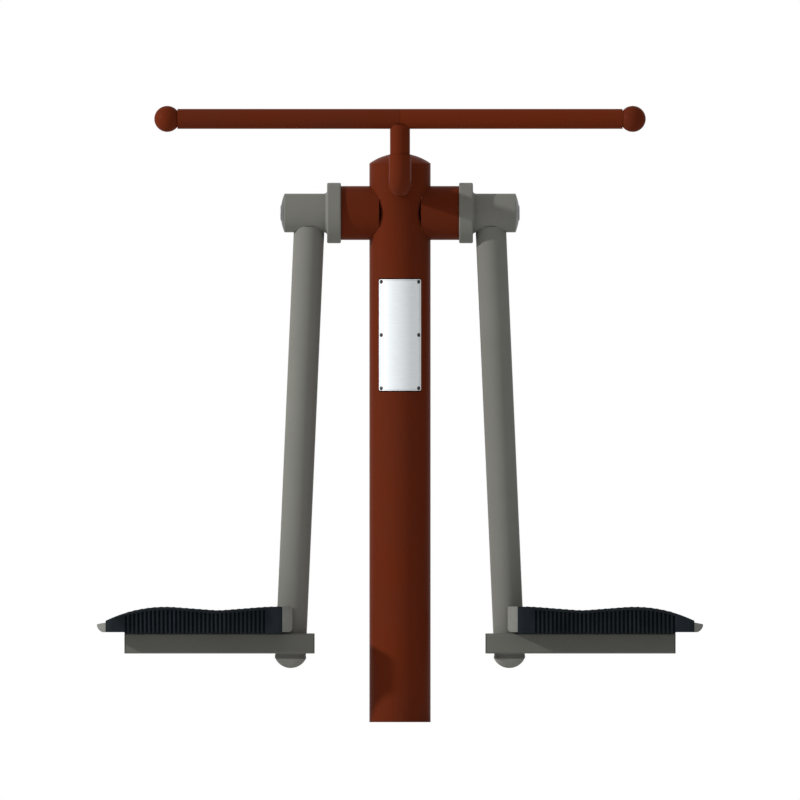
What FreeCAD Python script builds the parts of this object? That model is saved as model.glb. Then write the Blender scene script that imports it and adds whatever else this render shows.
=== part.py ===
import FreeCAD, Part
import math
import os
import re

import Sketcher
from FreeCAD import Placement, Rotation, Vector

# Outdoor air walker, in millimetres.
# The origin is the centre of the post's foot, +Z is up, and the user's side is -Y.
# The axle lies along X, and every piece of the left half is the right half's piece
# turned half way round the post's axis.

os.makedirs("parts", exist_ok=True)
doc = FreeCAD.newDocument("air_walker")

# Driving dimensions
SIZES = [
    ("post_dia", 122.5, "outside of the post tube"),
    ("post_wall", 4.0, "wall of the post tube"),
    ("post_above", 99.2, "from the axle to the post tube's upper end"),
    ("dome_rise", 20.0, "height of the domed cap over the tube"),
    ("cap_wall", 3.0, "thickness of the pressed caps"),
    ("cap_skirt", 18.0, "depth of the dome's skirt inside the tube"),
    ("seat_gap", 0.15, "radial clearance of caps, plugs and coped joints"),
    ("foot_thick", 15.0, "thickness of the foot plate"),
    ("anchor_circle", 80.0, "bolt circle of the foot plate"),
    ("anchor_dia", 16.0, "tapped anchor hole"),
    ("axle_height", 1018.3, "height of the axle"),
    ("housing_dia", 108.0, "outside of the axle housings"),
    ("housing_wall", 5.0, "wall of the axle housings"),
    ("housing_sink", 19.25, "how deep a housing sits in the post"),
    ("housing_reach", 59.25, "how far a housing stands out of the post"),
    ("plate_thick", 10.0, "thickness of the end plates"),
    ("axle_tube_dia", 60.0, "tube around the shaft, from end plate to end plate"),
    ("axle_tube_wall", 5.0, "wall of that tube"),
    ("shaft_dia", 40.0, "middle of the axle shaft"),
    ("shaft_fit", 0.03, "radial clearance of the shaft in plates and rings"),
    ("clip_thick", 1.75, "thickness of the shaft's circlips"),
    ("clip_depth", 1.25, "depth of the circlip grooves"),
    ("clip_reach", 2.2, "how far a circlip stands out of its groove"),
    ("clip_slack", 0.05, "axial clearance of a circlip in its groove"),
    ("clip_opening", 35.0, "angle between a circlip's ears"),
    ("bearing_inset", 2.0, "from the hub's inboard end to the first bearing"),
    ("bearing_bore", 30.0, "bore of the bearings"),
    ("bearing_dia", 62.0, "outside of the bearings"),
    ("bearing_wide", 16.0, "width of the bearings"),
    ("bearing_gap", 46.0, "distance between the two bearings"),
    ("ball_dia", 9.5, "bearing ball"),
    ("ball_circle", 46.0, "pitch circle of the balls"),
    ("ball_play", 0.15, "clearance of a ball in its track"),
    ("land_depth", 3.2, "from the pitch circle to either ring's land"),
    ("cage_thick", 3.6, "thickness of a bearing cage"),
    ("cage_wide", 12.0, "width of a bearing cage"),
    ("cage_play", 0.3, "clearance of a ball in its cage"),
    ("spacer_wall", 4.0, "wall of the spacer sleeve"),
    ("washer_thick", 3.0, "thickness of the axle washer"),
    ("washer_dia", 44.0, "outside of the axle washer"),
    ("thread_dia", 24.0, "threaded end of the shaft"),
    ("thread_play", 0.05, "radial clearance of nuts on threads"),
    ("thread_spare", 2.0, "thread that shows past the nut"),
    ("nut_thick", 12.0, "thickness of the axle nut"),
    ("nut_flats", 36.0, "across flats of the axle nut"),
    ("hub_dia", 77.6, "outside of the hub tube"),
    ("hub_set", 11.5, "from a housing's end to the hub tube"),
    ("hub_spare", 19.5, "from the second bearing to the hub's outboard end"),
    ("hub_step", 4.0, "height of the shoulders between the bearings"),
    ("edge_break", 1.0, "chamfer on turned edges"),
    ("flange_gap", 1.5, "clearance between the flange's rim and the housing"),
    ("flange_lap", 2.4, "how far the flange's rim laps over the housing"),
    ("flange_set", 14.0, "from the hub's inboard end to the flange's outboard face"),
    ("flange_web", 6.5, "thickness of the flange's disc"),
    ("flange_rim", 5.0, "thickness of the flange's rim"),
    ("flange_round", 3.0, "rounded corners of the flange"),
    ("neck_long", 4.6, "hollow fillet between flange and hub tube"),
    ("neck_lip", 0.5, "blunt edge of that fillet"),
    ("lug_wide", 16.0, "width of the fixed stop lug"),
    ("lug_tall", 8.0, "radial height of the stop lug"),
    ("lug_long", 10.5, "length of the stop lug along the axle"),
    ("buffer_thick", 6.0, "thickness of a rubber buffer"),
    ("buffer_short", 1.0, "how much less deep a buffer is than the lug"),
    ("block_thick", 10.0, "thickness of a moving stop block"),
    ("block_tall", 12.0, "radial height of a moving stop block"),
    ("stop_clear", 3.0, "gap between housing and moving stops"),
    ("stop_angle", 60.0, "swing to each side, in degrees"),
    ("stop_spare", 1.0, "angle left at the end of the swing, in degrees"),
    ("hub_cap_rise", 7.3, "height of the hub's domed cap"),
    ("hub_cap_skirt", 10.0, "depth of the cap's skirt"),
    ("button_dia", 31.0, "stainless button in the hub cap"),
    ("button_lip", 1.0, "how far the button laps over its hole"),
    ("button_thick", 1.2, "thickness of the button's head"),
    ("button_crown", 0.5, "crown of the button's face"),
    ("leg_dia", 61.3, "outside of the leg tube"),
    ("leg_wall", 4.0, "wall of the leg tube"),
    ("leg_gap", 0.7, "gap between the flange's fillet and the leg"),
    ("leg_splay", 2.5, "outward lean of the leg, in degrees"),
    ("leg_lip", 27.6, "how far under the axle the leg's lips around the hub are cut square"),
    ("leg_past", 3.6, "how far the leg tube reaches out under the rail"),
    ("leg_cap_proud", 0.65, "how far the leg cap's collar stands out of the tube"),
    ("leg_cap_collar", 6.3, "height of the collar"),
    ("leg_cap_rise", 19.1, "height of the leg cap's dome"),
    ("leg_cap_plug", 20.0, "depth of the leg cap's plug"),
    ("rail_behind", 15.6, "how far the foot rail reaches inboard of the leg"),
    ("rail_long", 380.5, "length of the foot rail"),
    ("rail_top", 177.6, "height of the rail's upper face"),
    ("rail_high", 40.4, "height of the rail"),
    ("rail_wide", 120.0, "width of the rail"),
    ("rail_wall", 3.0, "wall of the rail"),
    ("rail_round", 4.0, "outside corner radius of the rail"),
    ("plug_lip", 2.5, "thickness of a rail plug's lip"),
    ("plug_deep", 10.0, "depth of a rail plug"),
    ("tread_set", 64.6, "from the rail's inboard end to the tread"),
    ("tread_past", 37.7, "how far the tread reaches past the rail"),
    ("tread_wide", 292.0, "width of the tread"),
    ("tread_lift", 2.3, "how much higher the tread's underside is past the rail"),
    ("tread_nose_high", 26.1, "height of the tread's nose over the rail"),
    ("tread_nose_round", 2.0, "rounding of the nose"),
    ("crest_back", 141.0, "from the tread's outboard end to the end of the crest's arc"),
    ("crest_high", 52.0, "height there over the rail"),
    ("crest_bend", 273.0, "radius of the crest"),
    ("dip_near", 213.0, "from the tread's outboard end to the bottom of the hollow"),
    ("dip_long", 25.0, "length of the hollow's round bottom"),
    ("dip_low", 46.5, "height there over the rail"),
    ("dip_bend", 163.0, "radius of the hollow"),
    ("heel_long", 43.6, "from the tread's inboard end to where the heel's arc ends"),
    ("heel_low", 52.1, "height there over the rail"),
    ("heel_high", 53.3, "height of the tread's inboard end over the rail"),
    ("heel_bend", 443.0, "radius towards the inboard end"),
    ("pedal_round", 30.0, "corner radius of the pedal seen from above"),
    ("slot_set", 36.8, "from the tread's inboard end to the first side slot"),
    ("slot_pitch", 8.36, "distance between side slots"),
    ("slot_back", 40.0, "room kept free of slots at the tread's outboard end"),
    ("slot_wide", 4.4, "width of a side slot"),
    ("slot_deep", 8.0, "depth of a side slot"),
    ("slot_cover", 6.0, "tread left over the slots"),
    ("tread_skin", 4.0, "wall behind the slots"),
    ("hollow_high", 36.0, "height of the hollows under the tread"),
    ("toe_hollow_high", 24.0, "height of the hollow next to the nose"),
    ("hollow_rib", 10.0, "rib between two hollows"),
    ("leg_clear", 2.5, "clearance between tread and leg"),
    ("nose_long", 17.5, "length of the nose piece"),
    ("nose_under", 6.0, "flat underside of the nose piece"),
    ("nose_drop", 4.4, "how much lower the nose piece is than the tread"),
    ("nose_bend", 17.5, "radius under the nose piece"),
    ("nose_lip", 1.6, "blunt edge of the nose piece"),
    ("nose_slope", 3.0, "fall of the nose piece's top"),
    ("guard_reach", 20.0, "length of the heel guards"),
    ("guard_lift", 2.4, "gap between heel guard and rail"),
    ("guard_proud", 0.4, "how far a guard stands over the tread"),
    ("guard_round", 8.0, "lower inboard corner of a guard"),
    ("guard_edge", 2.0, "upper inboard corner of a guard"),
    ("screw_dia", 10.0, "tread screw"),
    ("screw_play", 0.3, "radial clearance of the screw holes"),
    ("screw_head_dia", 18.0, "head of the tread screw"),
    ("screw_head_high", 5.5, "height of the screw head"),
    ("screw_socket", 3.5, "radius of the screw's socket"),
    ("screw_socket_deep", 3.0, "depth of the screw's socket"),
    ("screw_floor", 34.4, "floor of the counterbore over the rail"),
    ("screw_side", 38.0, "screws to each side of the rail's middle"),
    ("screw_set", 54.6, "from the tread's inboard end to the first pair of screws"),
    ("screw_back", 89.0, "from the tread's outboard end to the second pair"),
    ("screw_sink", 10.5, "radius of the counterbores"),
    ("screw_boss", 15.0, "half the solid band around a pair of screws"),
    ("rail_nut_flats", 17.0, "across flats of the nuts in the rail"),
    ("rail_nut_thick", 8.0, "thickness of the nuts in the rail"),
    ("bar_dia", 40.0, "handle bar"),
    ("bar_wall", 3.0, "wall of bar and stem"),
    ("bar_reach", 445.0, "half the bar's length"),
    ("bar_forward", 220.0, "how far the bar is in front of the post's axis"),
    ("knob_dia", 52.1, "ball knob"),
    ("knob_gap", 0.6, "gap between the bar's end and the ball"),
    ("knob_plug", 20.0, "depth of a knob's plug in the bar"),
    ("stem_dia", 40.0, "stem of the handle"),
    ("stem_long", 97.5, "length of the stem, from the elbow's bend to its lips"),
    ("stem_lip", 11.5, "how far under the bar's axis the stem's lips are cut square"),
    ("elbow_wall", 2.05, "wall of the handle elbow"),
    ("elbow_above", 55.2, "from the axle to the elbow's axis at the post"),
    ("elbow_inside", 1.8, "radius inside the elbow's bend"),
    ("elbow_mouth", 38.0, "straight mouth that holds the stem"),
    ("sign_base", 663.0, "lower edge of the sign plate"),
    ("sign_high", 222.7, "height of the sign plate"),
    ("sign_half", 42.0, "half the sign's width, seen from the front"),
    ("sign_thick", 1.2, "thickness of the sign plate"),
    ("sign_round", 3.0, "rounded corners of the sign plate"),
    ("rivet_edge", 4.5, "rivets from the sign's sides, seen from the front"),
    ("rivet_inset", 4.8, "rivets from the sign's upper and lower edge"),
    ("rivet_dia", 4.8, "shank of a rivet"),
    ("rivet_play", 0.05, "radial clearance of a rivet"),
    ("rivet_head_dia", 8.0, "head of a rivet"),
    ("rivet_head_high", 1.6, "height of a rivet's head"),
    ("rivet_tail_dia", 6.4, "closed end of a rivet inside the post"),
    ("rivet_tail_long", 2.5, "length of the closed end"),
]
BALLS = 9
ANCHORS = 4

sizes = doc.addObject("Spreadsheet::Sheet", "sizes")
for row, (alias, number, note) in enumerate(SIZES, 1):
    sizes.set(f"A{row}", note)
    sizes.set(f"B{row}", str(number))
    sizes.setAlias(f"B{row}", alias)
doc.recompute()

# Places that several pieces share, each worked out from the sheet
POST_BORE = "(post_dia / 2 - post_wall)"
POST_TOP = "(axle_height + post_above)"
HOUSING_BORE = "(housing_dia / 2 - housing_wall)"
HOUSING_ROOT = "(post_dia / 2 - housing_sink)"
HOUSING_END = "(post_dia / 2 + housing_reach)"
LUG_RADIUS = f"({HOUSING_BORE} - lug_tall)"
HUB_START = f"({HOUSING_END} + hub_set)"
BEARING_ONE = f"({HUB_START} + bearing_inset)"
BEARING_TWO = f"({BEARING_ONE} + bearing_wide + bearing_gap)"
HUB_END = f"({BEARING_TWO} + bearing_wide + hub_spare)"
FLANGE_FACE = f"({HUB_START} + flange_set)"
CLIP_PLACE = f"({BEARING_TWO} + bearing_wide + clip_slack)"
NUT_PLACE = f"({BEARING_TWO} + bearing_wide + washer_thick)"
CUP_FLOOR = f"({FLANGE_FACE} - flange_web)"
BUTTON_HOLE = "(button_dia / 2 - button_lip)"
LEG_SWAY = "tan(leg_splay * 1 deg)"
LEG_SIDE = "(leg_dia / 2 / cos(leg_splay * 1 deg))"
NECK_END = f"({FLANGE_FACE} + neck_long)"
LEG_ROOT = f"({NECK_END} + leg_gap + {LEG_SIDE} - hub_dia / 2 * {LEG_SWAY})"
LEG_BASE = "(rail_top - rail_high - leg_past)"
LEG_END = f"({LEG_ROOT} + (axle_height - {LEG_BASE}) * {LEG_SWAY})"
LEG_AT_RAIL = f"({LEG_ROOT} + (axle_height - rail_top) * {LEG_SWAY})"
RAIL_INNER = f"({LEG_AT_RAIL} - leg_dia / 2 - rail_behind)"
RAIL_OUTER = f"({RAIL_INNER} + rail_long)"
TREAD_SIDE = "(tread_wide / 2)"
TREAD_INNER = f"({RAIL_INNER} + tread_set)"
TREAD_OUTER = f"({RAIL_OUTER} + tread_past)"
GUARD_END = f"({TREAD_INNER} - guard_reach)"
NOSE_END = f"({TREAD_OUTER} + nose_long)"
SCREW_NEAR = f"({TREAD_INNER} + screw_set)"
SCREW_FAR = f"({TREAD_OUTER} - screw_back)"
ELBOW_OUT = "(stem_dia / 2 + seat_gap + elbow_wall)"
ELBOW_HEIGHT = "(axle_height + elbow_above)"
ELBOW_BEND = f"({ELBOW_OUT} + elbow_inside)"
BEND_END = f"({ELBOW_HEIGHT} + {ELBOW_BEND})"
BAR_HEIGHT = f"({BEND_END} + stem_long + stem_lip)"

AXIAL = Rotation(Vector(0, 1, 0), 90)
kept = []


def full(expression):
    """The expression with every size's name led back to the sheet."""
    return re.sub(r"\b[a-z]+(?:_[a-z]+)+\b", lambda word: "sizes." + word.group(0), str(expression))


def value(expression):
    return float(sizes.evalExpression(full(expression)))


def bind(item, **cells):
    for name, expression in cells.items():
        item.setExpression(name, full(expression))


def place(item, side=1, x="0", y="0", z="0", turn=Rotation()):
    """Put an item on the right (side 1) or, turned half way round the post, on the left (-1)."""
    facing = Rotation(Vector(0, 0, 1), 0 if side > 0 else 180)
    item.Placement = Placement(Vector(), facing * turn)
    item.setExpression("Placement.Base.x", full(f"{side} * ({x})"))
    item.setExpression("Placement.Base.y", full(f"{side} * ({y})"))
    item.setExpression("Placement.Base.z", full(z))
    return item


def keep(item):
    """Mark an item as a finished piece."""
    kept.append(item)
    return item


def new_body(label):
    body = doc.addObject("PartDesign::Body", label)
    body.Label = label
    return body


def new_sketch(body, role):
    sketch = body.newObject("Sketcher::SketchObject", body.Name + "_sketch")
    plane = next(item for item in body.Origin.OriginFeatures if item.Role == role)
    sketch.AttachmentSupport = (plane, [""])
    sketch.MapMode = "FlatFace"
    return sketch


def held(sketch, constraint, expression):
    """Add a constraint whose value follows the sheet."""
    index = sketch.addConstraint(constraint)
    sketch.setExpression(f"Constraints[{index}]", full(expression))


def arc_between(start, end, radius, turn):
    """The short arc from start to end that bends left (turn 1) or right (turn -1)."""
    chord = end - start
    middle = (start + end) * 0.5
    left = Vector(-chord.y, chord.x, 0).normalize()
    rise = math.sqrt(max(radius**2 - chord.Length**2 / 4, 0.0))
    centre = middle + left * (turn * rise)
    angles = [math.atan2(spot.y - centre.y, spot.x - centre.x) for spot in (start, end)]
    first, last = angles if turn > 0 else reversed(angles)
    return Part.ArcOfCircle(Part.Circle(centre, Vector(0, 0, 1), radius), first, last)


def outline(sketch, corners):
    """A closed outline. A corner is (u, v), or (u, v, radius, turn) when an arc leads to it."""
    spots = [Vector(value(corner[0]), value(corner[1]), 0) for corner in corners]
    total = len(corners)
    edges = []
    for index in range(total):
        start = spots[index]
        end = spots[(index + 1) % total]
        bend = corners[(index + 1) % total][2:]
        if bend:
            edge = sketch.addGeometry(arc_between(start, end, value(bend[0]), bend[1]), False)
            held(sketch, Sketcher.Constraint("Radius", edge, value(bend[0])), bend[0])
            ends = (1, 2) if bend[1] > 0 else (2, 1)
        else:
            edge = sketch.addGeometry(Part.LineSegment(start, end), False)
            ends = (1, 2)
        edges.append((edge, *ends))
    for index in range(total):
        edge, first, last = edges[index]
        following, its_first, its_last = edges[(index + 1) % total]
        sketch.addConstraint(Sketcher.Constraint("Coincident", edge, last, following, its_first))
        for kind, spot, expression in zip(("DistanceX", "DistanceY"), spots[index], corners[index]):
            held(sketch, Sketcher.Constraint(kind, -1, 1, edge, first, spot), expression)


def ring(sketch, radius):
    """A circle around the sketch's origin."""
    edge = sketch.addGeometry(Part.Circle(Vector(), Vector(0, 0, 1), value(radius)), False)
    sketch.addConstraint(Sketcher.Constraint("Coincident", edge, 3, -1, 1))
    held(sketch, Sketcher.Constraint("Radius", edge, value(radius)), radius)


def turned(label, corners, axis="H_Axis", angle="360"):
    """A turned piece: its outline on the XZ plane, spun about X (H_Axis) or Z (V_Axis)."""
    body = new_body(label)
    profile = new_sketch(body, "XZ_Plane")
    outline(profile, corners)
    spin = body.newObject("PartDesign::Revolution", label + "_spin")
    spin.Profile = profile
    spin.ReferenceAxis = (profile, [axis])
    spin.Midplane = angle != "360"
    bind(spin, Angle=angle)
    return body


def pressed(label, role, outlines, length, middle=False):
    """A straight piece: outlines on an origin plane, padded along its normal."""
    body = new_body(label)
    profile = new_sketch(body, role)
    for corners in outlines:
        outline(profile, corners)
    pad = body.newObject("PartDesign::Pad", label + "_pad")
    pad.Profile = profile
    if middle:
        pad.SideType = "Symmetric"
    bind(pad, Length=length)
    return body


def rounded(left, right, bottom, top, radius):
    """The outline of a rectangle with round corners."""
    return [
        (f"{left} + {radius}", bottom, radius, 1),
        (f"{right} - {radius}", bottom),
        (right, f"{bottom} + {radius}", radius, 1),
        (right, f"{top} - {radius}"),
        (f"{right} - {radius}", top, radius, 1),
        (f"{left} + {radius}", top),
        (left, f"{top} - {radius}", radius, 1),
        (left, f"{bottom} + {radius}"),
    ]


def cylinder(label, radius, height):
    item = doc.addObject("Part::Cylinder", label)
    bind(item, Radius=radius, Height=height)
    return item


def block(label, length, width, height):
    item = doc.addObject("Part::Box", label)
    bind(item, Length=length, Width=width, Height=height)
    return item


def cut(label, base, *tools):
    """Take each tool away from the base in turn."""
    for number, tool in enumerate(tools, 1):
        step = doc.addObject("Part::Cut", f"{label}_cut_{number}")
        step.Base = base
        step.Tool = tool
        base = step
    base.Label = label
    return base


def common(label, first, second):
    item = doc.addObject("Part::Common", label)
    item.Base = first
    item.Tool = second
    return item


def fuse(label, items):
    item = doc.addObject("Part::MultiFuse", label)
    item.Shapes = items
    return item


def group(label, items):
    item = doc.addObject("Part::Compound", label)
    item.Links = items
    return item


# Post: a plain round tube with a side hole for each axle housing


def make_post():
    tube = cut(
        "post_blank",
        cylinder("post_outside", "post_dia / 2", POST_TOP),
        cylinder("post_inside", POST_BORE, POST_TOP),
    )
    through = cylinder("post_side_hole", HOUSING_BORE, "post_dia + 2 * post_wall")
    place(through, x="-post_dia / 2 - post_wall", z="axle_height", turn=AXIAL)
    seats = []
    for side in (1, -1):
        seat = cylinder("post_seat", "housing_dia / 2 + seat_gap", "post_dia / 2")
        place(seat, side, x=f"{HOUSING_ROOT} - seat_gap", z="axle_height", turn=AXIAL)
        seats.append(seat)
    keep(cut("post_tube", tube, through, *seats, group("post_rivet_holes", rivet_holes("post"))))

    skirt = f"({POST_BORE} - seat_gap)"
    inside = f"({skirt} - cap_wall)"
    outer_bend = "((post_dia / 2)^2 + dome_rise^2) / (2 * dome_rise)"
    inner_rise = "(dome_rise - cap_wall)"
    inner_bend = f"({inside}^2 + {inner_rise}^2) / (2 * {inner_rise})"
    dome = turned(
        "post_dome_cap",
        [
            ("0", inner_rise, inner_bend, 1),
            ("0", "dome_rise"),
            ("post_dia / 2", "0", outer_bend, -1),
            (skirt, "0"),
            (skirt, "-cap_skirt"),
            (inside, "-cap_skirt"),
            (inside, "0"),
        ],
        axis="V_Axis",
    )
    keep(place(dome, z=POST_TOP))

    # Foot plate: welded inside the tube's end, tapped for the anchor bolts from below
    disc = cylinder("foot_disc", f"{POST_BORE} - seat_gap", "foot_thick")
    holes = []
    for number in range(ANCHORS):
        angle = 360 / ANCHORS * (number + 0.5)
        hole = cylinder("anchor_hole", "anchor_dia / 2", "foot_thick")
        place(hole, x=f"anchor_circle / 2 * cos({angle})", y=f"anchor_circle / 2 * sin({angle})")
        holes.append(hole)
    keep(cut("foot_plate", disc, group("anchor_holes", holes)))


# Sign plate: a curved sheet riveted to the post, facing the user


def rivet_spots():
    """Angle and height of each rivet."""
    angle = math.degrees(math.asin(value("(sign_half - rivet_edge) / (post_dia / 2 + sign_thick)")))
    heights = (
        "sign_base + rivet_inset",
        "sign_base + sign_high / 2",
        "sign_base + sign_high - rivet_inset",
    )
    return [(turn * angle - 90, height) for turn in (-1, 1) for height in heights]


def rivet_holes(label):
    holes = []
    for angle, height in rivet_spots():
        hole = cylinder(f"{label}_rivet_hole", "rivet_dia / 2 + rivet_play", "post_dia")
        place(hole, z=height, turn=Rotation(Vector(0, 0, 1), angle) * AXIAL)
        holes.append(hole)
    return holes


def make_sign():
    inner = "(post_dia / 2 + rivet_play)"
    outer = "(post_dia / 2 + sign_thick)"
    sheet = turned(
        "sign_sheet",
        [
            (inner, "sign_base"),
            (outer, "sign_base"),
            (outer, "sign_base + sign_high"),
            (inner, "sign_base + sign_high"),
        ],
        axis="V_Axis",
        angle=f"2 * asin(sign_half / {outer})",
    )
    place(sheet, turn=Rotation(Vector(0, 0, 1), -90))
    window = pressed(
        "sign_window",
        "XZ_Plane",
        [rounded("-sign_half", "sign_half", "sign_base", "sign_base + sign_high", "sign_round")],
        "2 * post_dia",
        middle=True,
    )
    plate = common("sign_rounded", sheet, window)
    keep(cut("sign_plate", plate, group("sign_rivet_holes", rivet_holes("sign"))))

    shank = "rivet_dia / 2"
    tail = "rivet_tail_dia / 2"
    head_bend = "((rivet_head_dia / 2)^2 + rivet_head_high^2) / (2 * rivet_head_high)"
    tail_face = f"({POST_BORE} - seat_gap)"
    rivets = []
    for angle, height in rivet_spots():
        rivet = turned(
            "plate_rivet",
            [
                (f"{tail_face} - rivet_tail_long", "0"),
                (f"{outer} + rivet_play + rivet_head_high", "0"),
                (f"{outer} + rivet_play", "rivet_head_dia / 2", head_bend, 1),
                (f"{outer} + rivet_play", shank),
                (tail_face, shank),
                (tail_face, tail),
                (f"{tail_face} - rivet_tail_long", tail),
            ],
        )
        rivets.append(place(rivet, z=height, turn=Rotation(Vector(0, 0, 1), angle)))
    keep(group("plate_rivets", rivets))


# Handle: an elbow out of the post's front, a stem plugged in it, a bar across and two ball knobs


def make_handle():
    start = f"(post_dia / 2 - {ELBOW_OUT})"
    run = f"(bar_forward - {ELBOW_BEND} - {start})"
    elbow = new_body("elbow_pipe")
    section = new_sketch(elbow, "XZ_Plane")
    ring(section, ELBOW_OUT)
    ring(section, "stem_dia / 2 + seat_gap")
    spine = new_sketch(elbow, "YZ_Plane")
    far = Vector(-value(run), 0, 0)
    bend = value(ELBOW_BEND)
    centre = far + Vector(0, bend, 0)
    turn_end = centre + Vector(-bend, 0, 0)
    top = turn_end + Vector(0, value("elbow_mouth"), 0)
    line = spine.addGeometry(Part.LineSegment(Vector(), far), False)
    circle = Part.Circle(centre, Vector(0, 0, 1), bend)
    arc = spine.addGeometry(Part.ArcOfCircle(circle, math.pi, 1.5 * math.pi), False)
    mouth = spine.addGeometry(Part.LineSegment(turn_end, top), False)
    spine.addConstraint(Sketcher.Constraint("Coincident", line, 1, -1, 1))
    spine.addConstraint(Sketcher.Constraint("Horizontal", line))
    spine.addConstraint(Sketcher.Constraint("Vertical", mouth))
    spine.addConstraint(Sketcher.Constraint("Tangent", line, 2, arc, 2))
    spine.addConstraint(Sketcher.Constraint("Tangent", arc, 1, mouth, 1))
    held(spine, Sketcher.Constraint("Radius", arc, bend), ELBOW_BEND)
    held(spine, Sketcher.Constraint("Distance", line, value(run)), run)
    held(spine, Sketcher.Constraint("Distance", mouth, value("elbow_mouth")), "elbow_mouth")
    pipe = elbow.newObject("PartDesign::AdditivePipe", "elbow_sweep")
    pipe.Profile = section
    pipe.Spine = (spine, ["Edge1", "Edge2", "Edge3"])
    place(elbow, y=f"-{start}", z=ELBOW_HEIGHT)
    post = cylinder("elbow_cope", "post_dia / 2 + seat_gap", POST_TOP)
    keep(cut("handle_elbow", elbow, post))

    stem = cut(
        "stem_blank",
        cylinder("stem_outside", "stem_dia / 2", "stem_long"),
        cylinder("stem_inside", "stem_dia / 2 - bar_wall", "stem_long"),
    )
    place(stem, y="-bar_forward", z=BEND_END)
    cope = cylinder("stem_cope", "bar_dia / 2 + seat_gap", "2 * bar_dia")
    place(cope, x="-bar_dia", y="-bar_forward", z=BAR_HEIGHT, turn=AXIAL)
    keep(cut("handle_stem", stem, cope))

    bar = turned(
        "handle_bar",
        [
            ("-bar_reach", "bar_dia / 2 - bar_wall"),
            ("bar_reach", "bar_dia / 2 - bar_wall"),
            ("bar_reach", "bar_dia / 2"),
            ("-bar_reach", "bar_dia / 2"),
        ],
    )
    keep(place(bar, y="-bar_forward", z=BAR_HEIGHT))

    plug = "(bar_dia / 2 - bar_wall - seat_gap)"
    ball_start = "(bar_reach + knob_gap)"
    ball_end = f"({ball_start} + sqrt((knob_dia / 2)^2 - {plug}^2) + knob_dia / 2)"
    for side, name in ((1, "right"), (-1, "left")):
        knob = turned(
            f"{name}_handle_knob",
            [
                ("bar_reach - knob_plug", "0"),
                (ball_end, "0"),
                (ball_start, plug, "knob_dia / 2", 1),
                ("bar_reach - knob_plug", plug),
            ],
        )
        keep(place(knob, side, y=f"-{side} * bar_forward", z=BAR_HEIGHT))


# Axle: a shaft through both housings, held by circlips, with bearing seats and threads outboard.
# A tube around its middle, welded between the end plates, stiffens the housings.


def make_axle():
    middle = "shaft_dia / 2"
    groove = "shaft_dia / 2 - clip_depth"
    seat = "bearing_bore / 2"
    thread = "thread_dia / 2"
    seat_end = f"({BEARING_TWO} + bearing_wide - clip_slack)"
    tip = f"({NUT_PLACE} + nut_thick + thread_spare)"
    groove_end = f"({HOUSING_END} + clip_thick + 2 * clip_slack)"
    half = [
        (tip, "0"),
        (tip, f"{thread} - edge_break"),
        (f"{tip} - edge_break", thread),
        (seat_end, thread),
        (seat_end, seat),
        (BEARING_ONE, seat),
        (BEARING_ONE, middle),
        (groove_end, middle),
        (groove_end, groove),
        (HOUSING_END, groove),
        (HOUSING_END, middle),
    ]
    mirrored = [(f"-{x}", radius) for x, radius in reversed(half)]
    keep(place(turned("axle_shaft", half + mirrored), z="axle_height"))

    tube_end = f"({HOUSING_END} - plate_thick - seat_gap)"
    tube_bore = "axle_tube_dia / 2 - axle_tube_wall"
    tube = turned(
        "axle_tube",
        [
            (f"-{tube_end}", tube_bore),
            (tube_end, tube_bore),
            (tube_end, "axle_tube_dia / 2"),
            (f"-{tube_end}", "axle_tube_dia / 2"),
        ],
    )
    keep(place(tube, z="axle_height"))

    clips = []
    spacers = []
    washers = []
    nuts = []
    for side in (1, -1):
        clip_in = f"({HOUSING_END} + clip_slack)"
        clip_out = f"({clip_in} + clip_thick)"
        clip = turned(
            "axle_circlip",
            [
                (clip_in, f"{groove} + shaft_fit"),
                (clip_out, f"{groove} + shaft_fit"),
                (clip_out, f"{middle} + clip_reach"),
                (clip_in, f"{middle} + clip_reach"),
            ],
            angle="360 - clip_opening",
        )
        clips.append(place(clip, side, z="axle_height"))

        spacer_in = f"({BEARING_ONE} + bearing_wide)"
        spacer = turned(
            "bearing_spacer",
            [
                (spacer_in, "bearing_bore / 2 + shaft_fit"),
                (BEARING_TWO, "bearing_bore / 2 + shaft_fit"),
                (BEARING_TWO, "bearing_bore / 2 + spacer_wall"),
                (spacer_in, "bearing_bore / 2 + spacer_wall"),
            ],
        )
        spacers.append(place(spacer, side, z="axle_height"))

        washer_in = f"({BEARING_TWO} + bearing_wide)"
        washer = turned(
            "axle_washer",
            [
                (washer_in, f"{thread} + thread_play"),
                (NUT_PLACE, f"{thread} + thread_play"),
                (NUT_PLACE, "washer_dia / 2"),
                (washer_in, "washer_dia / 2"),
            ],
        )
        washers.append(place(washer, side, z="axle_height"))

        hexagon = doc.addObject("Part::Prism", "nut_hexagon")
        bind(hexagon, Circumradius="nut_flats / sqrt(3)", Height="nut_thick")
        nut = cut("axle_nut", hexagon, cylinder("nut_bore", f"{thread} + thread_play", "nut_thick"))
        nuts.append(place(nut, side, x=NUT_PLACE, z="axle_height", turn=AXIAL))
    keep(group("axle_circlips", clips))
    keep(group("bearing_spacers", spacers))
    keep(group("axle_washers", washers))
    keep(group("axle_nuts", nuts))


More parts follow.
